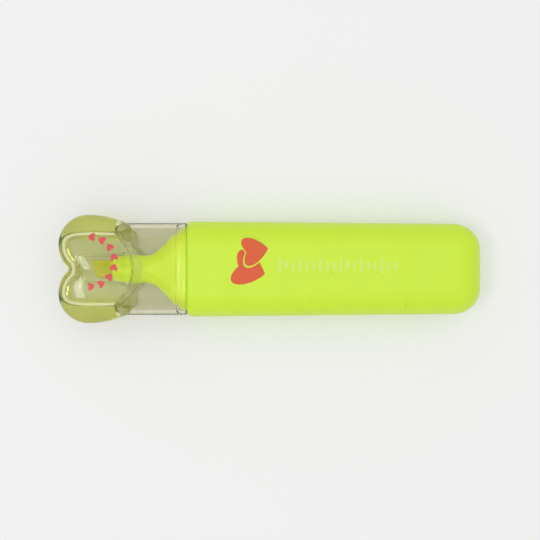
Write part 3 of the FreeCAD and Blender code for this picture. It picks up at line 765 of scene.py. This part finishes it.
def build_cap_tube():
    """Clear sleeve: stepped mouth, far end inside the heart, all edges polished round."""
    outer = (TUBE_HALF, TUBE_HALF_UP, TUBE_CORNER)
    inner = shrunk(outer, TUBE_WALL)
    mouth = (MOUTH_HALF, MOUTH_HALF_UP, MOUTH_CORNER)
    far = TUBE_END + END_ROUND
    step = TUBE_MOUTH - MOUTH_DEPTH

    def end_ring(section, turn, side):
        return rounded_ring(TUBE_END + END_ROUND * (1 - math.cos(turn)),
                            *shrunk(section, side * END_ROUND * (1 - math.sin(turn))))

    rings = [end_ring(outer, turn, 1) for turn in arc_steps(6)]
    span = TUBE_MOUTH - RIM_ROUND - far
    rings += [rounded_ring(far + span * i / OUTER_STATIONS, *outer)
              for i in range(1, OUTER_STATIONS + 1)]
    rings += [rounded_ring(TUBE_MOUTH - RIM_ROUND * (1 - math.cos(turn)),
                           *shrunk(outer, RIM_ROUND * (1 - math.sin(turn))))
              for turn in reversed(arc_steps(4)[:-1])]
    rings += [
        rounded_ring(TUBE_MOUTH, *shrunk(mouth, -MOUTH_BEVEL)),
        rounded_ring(TUBE_MOUTH - MOUTH_BEVEL, *mouth),
        rounded_ring(TUBE_MOUTH - MOUTH_DEPTH / 2, *mouth),
        rounded_ring(step + 0.1, *mouth),
        rounded_ring(step, *shrunk(mouth, 0.06)),
        rounded_ring(step - 0.05, *inner),
    ]
    rings += [rounded_ring(step - 0.05 + (far - step + 0.05) * i / INNER_STATIONS, *inner)
              for i in range(1, INNER_STATIONS + 1)]
    rings += [end_ring(inner, turn, -1) for turn in reversed(arc_steps(4)[:-1])]
    tube = ring_object("clear_tube", rings, TUBE_PLASTIC, 32.0, looped=True)
    cut_with(tube, notch_cylinder(0.0), 32.0)
    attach(tube, "cap")
    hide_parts("cap_tube")


def circle_points(radius, count):
    """Points round a circle, from its rightmost one."""
    turns = [2 * math.pi * i / count for i in range(count)]
    return [(radius * math.cos(turn), radius * math.sin(turn)) for turn in turns]


def rounded_profile(corners, rounding, steps=4):
    """Turned profile with each inner corner of the list softened by a small arc."""
    soft = [corners[0]]
    for before, here, after in zip(corners, corners[1:], corners[2:]):
        start = Vector(before) - Vector(here)
        end = Vector(after) - Vector(here)
        reach = min(rounding, start.length * 0.45, end.length * 0.45)
        first = Vector(here) + start.normalized() * reach
        last = Vector(here) + end.normalized() * reach
        for i in range(steps + 1):
            t = i / steps
            soft.append(tuple(first * (1 - t) ** 2 + Vector(here) * 2 * t * (1 - t)
                              + last * t * t))
    soft.append(corners[-1])
    return soft


def build_inner_cap():
    """Cup that seals the nib: beaded, tapered mouth and a closed foot, edges softened."""
    bead_start = CUP_RIM - CUP_BEAD_LENGTH
    floor = CUP_END + CUP_FLOOR
    corners = [
        (CUP_END, CUP_AXIS),
        (CUP_END, CUP_RADIUS - CUP_FOOT),
        (CUP_END + CUP_FOOT, CUP_RADIUS),
        (bead_start, CUP_RADIUS),
        (bead_start + 0.1, CUP_BEAD),
        (CUP_RIM, CUP_BEAD),
        (CUP_RIM, CUP_MOUTH),
        (HOLDER_FACE - 0.1, CUP_BORE),
        (floor + 0.7, CUP_BORE),
        (floor, CUP_BORE - 0.7),
        (floor, CUP_AXIS),
    ]
    softened = rounded_profile(corners, CUP_SOFTNESS)
    profile = []
    for (x0, r0), (x1, r1) in zip(softened, softened[1:]):
        parts = max(1, int(math.hypot(x1 - x0, r1 - r0) / CUP_SPACING))
        profile += [(x0 + (x1 - x0) * i / parts, r0 + (r1 - r0) * i / parts)
                    for i in range(parts)]
    profile.append(softened[-1])
    rings = [[point(x, y, z) for y, z in circle_points(radius, 96)] for x, radius in profile]
    cup = ring_object("seal_cup", rings, CUP_PLASTIC)
    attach(cup, "cap")
    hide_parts("inner_cap")


def heart_parts(inset):
    """Circles of the heart's rim, upper side only and inset, and where they touch."""
    lobe = Vector((LOBE_X, LOBE_Y))
    lobe_radius = LOBE_RADIUS - inset
    flank = lobe - Vector((0, FLANK_RADIUS - LOBE_RADIUS))
    flank_radius = FLANK_RADIUS - inset
    tip_radius = TIP_RADIUS - inset
    reach = flank_radius - tip_radius
    tip = Vector((flank.x + math.sqrt(reach ** 2 - flank.y ** 2), 0))
    cleft_radius = CLEFT_RADIUS + inset
    reach = lobe_radius + cleft_radius
    cleft = Vector((lobe.x - math.sqrt(reach ** 2 - lobe.y ** 2), 0))
    touches = (
        flank + (tip - flank).normalized() * flank_radius,
        lobe + Vector((0, lobe_radius)),
        lobe + (cleft - lobe).normalized() * lobe_radius,
    )
    circles = ((tip, tip_radius), (flank, flank_radius), (lobe, lobe_radius),
               (cleft, cleft_radius))
    return circles, touches


def heart_reach(angle, inset):
    """Distance from the heart's centre to its rim in one direction."""
    circles, touches = heart_parts(inset)
    centre = Vector((HEART_CENTRE, 0))
    way = Vector((math.cos(angle), abs(math.sin(angle))))
    turn = math.atan2(way.y, way.x)
    passed = sum(turn > math.atan2(p.y - centre.y, p.x - centre.x) for p in touches)
    middle, radius = circles[passed]
    gap = centre - middle
    along = gap.dot(way)
    chord = math.sqrt(max(along ** 2 - gap.dot(gap) + radius ** 2, 0.0))
    return -along - chord if passed == len(touches) else -along + chord


def hollow_reach(angle):
    """As heart_reach for the hollow, whose sides are flat and further in than its ends."""
    reach = heart_reach(angle, HEART_WALL)
    side = abs(math.sin(angle)) / HOLLOW_HALF_WIDTH
    return (reach ** -HOLLOW_BLEND + side ** HOLLOW_BLEND) ** (-1 / HOLLOW_BLEND)


# points round the rim and rings up to the crown; the other two space the rings evenly
HEART_TURNS = 224
HEART_STEPS = 44
MEAN_REACH = 13.0
FINE_STEPS = 3000


def dome_profile(height):
    """Share of the rim and rise of the dome at even steps along its curve, rim first."""
    samples = [(math.cos(turn) ** (2 / HEART_FULLNESS), math.sin(turn) ** (2 / HEART_FULLNESS))
               for turn in arc_steps(FINE_STEPS)]
    lengths = [0.0]
    for (s0, r0), (s1, r1) in zip(samples, samples[1:]):
        lengths.append(lengths[-1] + math.hypot((s1 - s0) * MEAN_REACH, (r1 - r0) * height))
    chosen = []
    index = 0
    for i in range(HEART_STEPS):
        wanted = lengths[-1] * i / HEART_STEPS
        while lengths[index] < wanted:
            index += 1
        chosen.append((samples[index][0], samples[index][1] * height))
    return chosen


def dome_rings(inset, floor, side, reach_at):
    """Rings of one dome from its rim to just short of its crown."""
    angles = [2 * math.pi * i / HEART_TURNS for i in range(HEART_TURNS)]
    rim = [(reach_at(angle) * math.cos(angle), reach_at(angle) * math.sin(angle))
           for angle in angles]
    return [[point(HEART_CENTRE + x * share, y * share, (rise + floor) * side) for x, y in rim]
            for share, rise in dome_profile(HEART_HALF_UP - inset)]


def heart_half_object(name, side):
    """Closed half shell of the heart before the tube's place is cut from it."""
    bm = bmesh.new()
    floor = HEART_GAP / 2
    outer = dome_rings(0.0, floor, side, lambda angle: heart_reach(angle, 0.0))
    inner = dome_rings(HEART_WALL, floor, side, hollow_reach)
    made = bridge_rings(bm, inner[::-1] + outer)
    for ring, height in ((made[0], HEART_HALF_UP - HEART_WALL), (made[-1], HEART_HALF_UP)):
        crown = bm.verts.new(point(HEART_CENTRE, 0.0, (height + floor) * side))
        for i in range(HEART_TURNS):
            bm.faces.new((ring[i], ring[(i + 1) % HEART_TURNS], crown))
    return finish_mesh(name, bm, HEART_PLASTIC, 35.0)


def notch_cylinder(gap):
    """Upright cylinder that notches the tube's end, less a bonding gap."""
    rings = [[point(NOTCH_X + x, y, height) for x, y in circle_points(NOTCH_RADIUS - gap, 128)]
             for height in (-14.0, -5.0, 5.0, 14.0)]
    return ring_object("notch_cylinder", rings, TUBE_PLASTIC)


def tube_block():
    """Solid outline of the notched tube, one bonding gap larger, that the heart sits on."""
    section = shrunk((TUBE_HALF, TUBE_HALF_UP, TUBE_CORNER), -HEART_GAP)
    stations = (TUBE_END - HEART_GAP, -40.0, -36.0, -30.0, -20.0)
    rings = [rounded_ring(x, *section) for x in stations]
    block = ring_object("tube_block", rings, HEART_PLASTIC)
    cut_with(block, notch_cylinder(HEART_GAP), 30.0)
    return block


def build_heart():
    """Both half shells, each cut to sit over the end of the tube; gives the front one."""
    halves = []
    for name, node, side in (("heart_front", "heart_front_shell", 1),
                             ("heart_back", "heart_back_shell", -1)):
        half = heart_half_object(name, side)
        cut_with(half, tube_block(), 30.0)
        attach(half, "cap")
        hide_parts(node)
        halves.append(half)
    return halves[0]


# ---- printed marks

WELD_RADIUS = 0.30
WELD_HEIGHT = 7.98
WELD_SPAN = 52.0
WELD_STEPS = 72
WELD_SIDES = 12
WELD_ENDS = 6.0
WELD_WAVE = 0.18
WELD_WAVES = 7.3
PRINT_THICKNESS = 0.02
PRINT_LIFT = 0.004
PRINT_LENGTH = 0.9
PRINT_LEAN = 0.85

# width, turn in degrees and middle of the hearts printed on the barrel
SMALL_HEART = (7.9, 10.0, (-4.0, 5.1))
LARGE_HEART = (9.9, -16.0, (-5.65, -0.2))
HALO_WIDTH = 8.8

MARK_WIDTH = 2.2
MARK_COUNT = 8
MARK_RADIUS = 6.9
MARK_SPAN = 86.0
MARK_CENTRE = (-50.15, 2.0)

BAR_COUNT = 18
BAR_SIZE = (0.62, 3.9)
BAR_FIRST = 2.7
BAR_LAST = 34.9
BAR_Y = 0.95
BAR_SHORT_SHARE = 0.62


def heart_outline(count):
    """Plump heart of unit width about its middle, with its tip towards +X."""
    crown = math.hypot(1.0, PRINT_LEAN)
    points = []
    for i in range(count):
        turn = 2 * math.pi * i / count
        rise = math.cos(turn) + PRINT_LEAN * abs(math.sin(turn)) - (crown - 1) / 2
        points.append((-rise * PRINT_LENGTH / (1 + crown), math.sin(turn) / 2))
    return points


def bar_outline(width, height, count):
    """Upright bar with round ends, of the given size, about its middle."""
    radius = width / 2
    points = []
    for side, start in ((1, 0.0), (-1, math.pi)):
        for i in range(count):
            turn = start + math.pi * i / (count - 1)
            points.append((radius * math.cos(turn),
                           side * (height / 2 - radius) + radius * math.sin(turn)))
    return points


def turned_outline(outline, size, degrees, centre):
    turn = math.radians(degrees)
    return [(centre[0] + size * (x * math.cos(turn) - y * math.sin(turn)),
             centre[1] + size * (x * math.sin(turn) + y * math.cos(turn)))
            for x, y in outline]


def flat_plate(name, outline, low, high, material):
    """Thin plate of the outline between two heights above the table, in millimetres."""
    rings = [[(x * MM, y * MM, z * MM) for x, y in outline] for z in (low, high)]
    return ring_object(name, rings, material, 30.0)


def build_weld_beads():
    """Clear bead along the seam between the heart and the notched tube, both faces."""
    for name, side in (("weld_front", 1), ("weld_back", -1)):
        rings = []
        for i in range(WELD_STEPS + 1):
            turn = math.radians(-WELD_SPAN + 2 * WELD_SPAN * i / WELD_STEPS)
            swell = min(1.0, WELD_ENDS * i / WELD_STEPS, WELD_ENDS * (1 - i / WELD_STEPS))
            radius = WELD_RADIUS * (0.25 + 0.75 * math.sqrt(swell))
            radius *= 1.0 + WELD_WAVE * math.sin(WELD_WAVES * turn + side)
            rings.append([point(NOTCH_X + (NOTCH_RADIUS + out) * math.cos(turn),
                                (NOTCH_RADIUS + out) * math.sin(turn),
                                side * (WELD_HEIGHT + up))
                          for out, up in circle_points(radius, WELD_SIDES)])
        bead = ring_object(name, rings, HEART_PLASTIC, 60.0)
        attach(bead, "cap")


def build_heart_prints():
    """Two plain hearts printed on the barrel, the smaller one in front."""
    low = AXIS_Z + BARREL_HALF_UP + PRINT_LIFT
    high = low + PRINT_THICKNESS
    outline = heart_outline(96)
    halo = turned_outline(outline, HALO_WIDTH, *SMALL_HEART[1:])
    front = flat_plate("printed_heart_small", turned_outline(outline, *SMALL_HEART),
                       low, high, RED_INK)
    back = flat_plate("printed_heart_large", turned_outline(outline, *LARGE_HEART),
                      low, high, RED_INK)
    cut_with(back, flat_plate("halo", halo, low - 0.5, high + 0.5, RED_INK), 30.0)
    for piece in (front, back):
        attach(piece, "pen")


def geometry_group(name, inputs):
    """Empty geometry group for a modifier: named inputs in, one geometry out."""
    group, entry, leave = new_group(name, "GeometryNodeTree",
                                    [("Geometry", "Geometry", None)] + inputs,
                                    [("Geometry", "Geometry")])
    group.is_modifier = True
    return group, entry, leave


def random_float(tree, low, high, seed):
    """A different number for each point, between two limits."""
    node = add_node(tree, "FunctionNodeRandomValue", {"Seed": seed}, data_type="FLOAT")
    first, last = [i for i, socket in enumerate(node.inputs) if socket.type == "VALUE"][:2]
    feed(tree, node, {first: low, last: high})
    return next(socket for socket in node.outputs if socket.type == "VALUE")


def realised(tree, points, mark, **placing):
    """Real geometry of an object set at every point."""
    shape = add_node(tree, "GeometryNodeObjectInfo", {"Object": mark}).outputs["Geometry"]
    instances = add_node(tree, "GeometryNodeInstanceOnPoints", {
        "Points": points, "Instance": shape, **placing})
    return add_node(tree, "GeometryNodeRealizeInstances", {0: instances.outputs[0]}).outputs[0]


def painted(tree, geometry, ink):
    return add_node(tree, "GeometryNodeSetMaterial", {
        "Geometry": geometry, "Material": ink}).outputs[0]


def make_arc_marks_group():
    """Small marks set round an arc and laid down onto the surface below them."""
    group, entry, leave = geometry_group("marks_on_arc", [
        ("Mark", "Object", None), ("Surface", "Object", None), ("Count", "Int", 8),
        ("Radius", "Float", 0.0071), ("Start", "Float", -1.48), ("Sweep", "Float", 2.96),
        ("Centre", "Vector", None), ("Lift", "Float", 0.00001),
        ("Unevenness", "Float", 0.08), ("Seed", "Int", 3), ("Ink", "Material", None)])
    index = group.nodes.new("GeometryNodeInputIndex").outputs[0]
    share = calc(group, "DIVIDE", index, calc(group, "SUBTRACT", entry["Count"], 1.0))
    angle = plus(group, entry["Start"],
                 times(group, share, entry["Sweep"]))
    spot = join_xyz(
        group,
        X=times(group, calc(group, "COSINE", angle), entry["Radius"]),
        Y=times(group, calc(group, "SINE", angle), entry["Radius"]))
    points = add_node(group, "GeometryNodePoints", {
        "Count": entry["Count"], "Position": vector_sum(group, spot, entry["Centre"])})
    lowest = times(group, entry["Unevenness"], -1.0)
    wobble = random_float(group, lowest, entry["Unevenness"], entry["Seed"])
    marks = realised(group, points.outputs[0], entry["Mark"],
                     Rotation=join_xyz(group, Z=plus(group, angle, wobble)))

    here = group.nodes.new("GeometryNodeInputPosition").outputs[0]
    parts = add_node(group, "ShaderNodeSeparateXYZ", {0: here}).outputs
    surface = add_node(group, "GeometryNodeObjectInfo", {"Object": entry["Surface"]})
    ray = add_node(group, "GeometryNodeRaycast", {
        "Target Geometry": surface.outputs["Geometry"],
        "Source Position": join_xyz(group, X=parts["X"], Y=parts["Y"], Z=0.05),
        "Ray Direction": (0.0, 0.0, -1.0), "Ray Length": 0.2})
    hit = add_node(group, "ShaderNodeSeparateXYZ", {0: ray.outputs["Hit Position"]}).outputs
    rise = plus(group, plus(group, hit["Z"], parts["Z"]), entry["Lift"])
    draped = add_node(group, "GeometryNodeSetPosition", {
        "Geometry": marks, "Position": join_xyz(group, X=parts["X"], Y=parts["Y"], Z=rise)})
    feed(group, leave, {0: painted(group, draped.outputs[0], entry["Ink"])})
    return group


def make_bar_row_group():
    """Row of upright bars at an even pitch, short and tall by turns, a little uneven."""
    group, entry, leave = geometry_group("bars_in_row", [
        ("Bar", "Object", None), ("Count", "Int", 18), ("Pitch", "Float", 0.0019),
        ("Start", "Vector", None), ("Short Share", "Float", 0.62), ("Seed", "Int", 5),
        ("Ink", "Material", None)])
    index = group.nodes.new("GeometryNodeInputIndex").outputs[0]
    step = join_xyz(group, X=times(group, index, entry["Pitch"]))
    points = add_node(group, "GeometryNodePoints", {
        "Count": entry["Count"], "Position": vector_sum(group, step, entry["Start"])})
    tall = calc(group, "LESS_THAN", calc(group, "MODULO", index, 3.0), 0.5)
    width = random_float(group, 0.93, 1.07, entry["Seed"])
    height = calc(group, "MAXIMUM", tall, entry["Short Share"])
    bars = realised(group, points.outputs[0], entry["Bar"],
                    Scale=join_xyz(group, X=width, Y=height, Z=1.0))
    feed(group, leave, {0: painted(group, bars, entry["Ink"])})
    return group


def generated_piece(name, group, values):
    """Run a geometry group once and keep its result as a plain mesh."""
    holder = bpy.data.objects.new(name, bpy.data.meshes.new(name))
    bpy.context.scene.collection.objects.link(holder)
    modifier = holder.modifiers.new("made", "NODES")
    modifier.node_group = group
    sockets = {item.name: item.identifier for item in group.interface.items_tree
               if item.item_type == "SOCKET" and item.in_out == "INPUT"}
    for socket_name, value in values.items():
        modifier[sockets[socket_name]] = value
    keep_result(holder, 30.0)
    return holder


def build_cap_marks(heart_front):
    """Eight tiny hearts printed round an arc on the face of the clear heart."""
    outline = turned_outline(heart_outline(40), MARK_WIDTH, 90.0, (0, 0))
    mark = flat_plate("mark_template", outline, 0.0, PRINT_THICKNESS, CAP_INK)
    centre = (MARK_CENTRE[0] * MM, MARK_CENTRE[1] * MM, 0.0)
    marks = generated_piece("cap_marks", make_arc_marks_group(), {
        "Mark": mark, "Surface": heart_front, "Count": MARK_COUNT,
        "Radius": MARK_RADIUS * MM, "Start": math.radians(-MARK_SPAN),
        "Sweep": math.radians(2 * MARK_SPAN), "Centre": centre,
        "Lift": PRINT_LIFT * MM, "Unevenness": 0.06, "Seed": 3, "Ink": CAP_INK,
    })
    bpy.data.objects.remove(mark)
    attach(marks, "cap")


def build_bar_print():
    """Pale row of plain bars printed along the middle of the barrel."""
    bar = flat_plate("bar_template", bar_outline(*BAR_SIZE, 9), 0.0, PRINT_THICKNESS, PALE_INK)
    row = generated_piece("printed_bars", make_bar_row_group(), {
        "Bar": bar, "Count": BAR_COUNT,
        "Pitch": (BAR_LAST - BAR_FIRST) / (BAR_COUNT - 1) * MM,
        "Start": tuple(point(BAR_FIRST, BAR_Y, BARREL_HALF_UP + PRINT_LIFT)),
        "Short Share": BAR_SHORT_SHARE, "Seed": 5, "Ink": PALE_INK,
    })
    bpy.data.objects.remove(bar)
    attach(row, "pen")


# ---- build

build_barrel()
build_front_section()
build_nib()
build_cap_tube()
build_inner_cap()
heart_front = build_heart()
build_weld_beads()
build_heart_prints()
build_bar_print()
build_cap_marks(heart_front)

for node_name, material in (("ink_reservoir", WICK_FIBRE), ("reservoir_film", FILM_PLASTIC)):
    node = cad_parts[node_name]
    node.data.materials.clear()
    node.data.materials.append(material)


# ---- floor, light, camera

TABLE_GLOW = 0.17
FLOOR_DROP = 0.00002
CAMERA_HEIGHT = 260.0
BOUNCES = 24


def floor_material():
    """Pale light-table top: part of its brightness is its own, so shadows stay faint."""
    material, tree, shader, _, place = new_material("studio_paper")
    soft = band(tree, noise(tree, place, 6.0, detail=2.0), 0.3, 0.7)
    feed(tree, shader, {
        "Base Color": mix_colours(tree, soft, (0.722, 0.722, 0.721),
                                  (0.712, 0.712, 0.711)),
        "Emission Color": (1.0, 1.0, 1.0), "Emission Strength": TABLE_GLOW,
        "Roughness": 0.8, "Specular IOR Level": 0.1,
    })
    return material


def build_floor():
    bm = bmesh.new()
    bmesh.ops.create_grid(bm, x_segments=4, y_segments=4, size=1.5)
    bmesh.ops.translate(bm, verts=bm.verts, vec=(0, 0, BARREL_LOW[2] - FLOOR_DROP))
    floor = finish_mesh("floor", bm, floor_material())


def area_light(name, place, aim, width, height, power):
    data = bpy.data.lights.new(name, "AREA")
    data.shape = "RECTANGLE"
    data.size = width
    data.size_y = height
    data.energy = power
    light = bpy.data.objects.new(name, data)
    light.location = place
    light.rotation_euler = (Vector(aim) - Vector(place)).to_track_quat("-Z", "Y").to_euler()
    bpy.context.scene.collection.objects.link(light)


def build_world():
    """Even pale surroundings, a little darker towards the horizon."""
    world = bpy.data.worlds.new("studio")
    bpy.context.scene.world = world
    world.use_nodes = True
    tree = world.node_tree
    tree.nodes.clear()
    place = tree.nodes.new("ShaderNodeTexCoord").outputs["Generated"]
    split = add_node(tree, "ShaderNodeSeparateXYZ", {0: place})
    ramp = add_node(tree, "ShaderNodeValToRGB", {"Fac": split.outputs["Z"]})
    low, high = ramp.color_ramp.elements
    low.position, low.color = 0.0, (0.62, 0.62, 0.62, 1.0)
    high.position, high.color = 0.75, (0.82, 0.82, 0.82, 1.0)
    background = add_node(tree, "ShaderNodeBackground", {
        "Strength": 1.0, "Color": ramp.outputs["Color"]})
    add_node(tree, "ShaderNodeOutputWorld", {0: background.outputs[0]})


def build_camera():
    data = bpy.data.cameras.new("camera")
    data.sensor_width = 36.0
    data.lens = 60.29
    data.clip_start = 0.01
    camera = bpy.data.objects.new("camera", data)
    camera.location = (0.00003, -0.00029, (AXIS_Z + CAMERA_HEIGHT) * MM)
    bpy.context.scene.collection.objects.link(camera)
    bpy.context.scene.camera = camera


build_floor()
build_world()
area_light("key_softbox", (-0.12, -0.20, 0.68), (0, 0, 0), 0.45, 0.30, 0.33)
area_light("top_softbox", (0.20, 0.16, 0.80), (0, 0, 0), 0.50, 0.50, 0.54)
area_light("window_softbox", (-0.31, -0.06, 0.68), (-0.05, 0, 0), 0.15, 0.12, 0.55)
build_camera()

scene = bpy.context.scene
scene.view_settings.view_transform = "Standard"
scene.cycles.max_bounces = BOUNCES
scene.cycles.transmission_bounces = BOUNCES
scene.cycles.glossy_bounces = BOUNCES
scene.cycles.transparent_max_bounces = 32
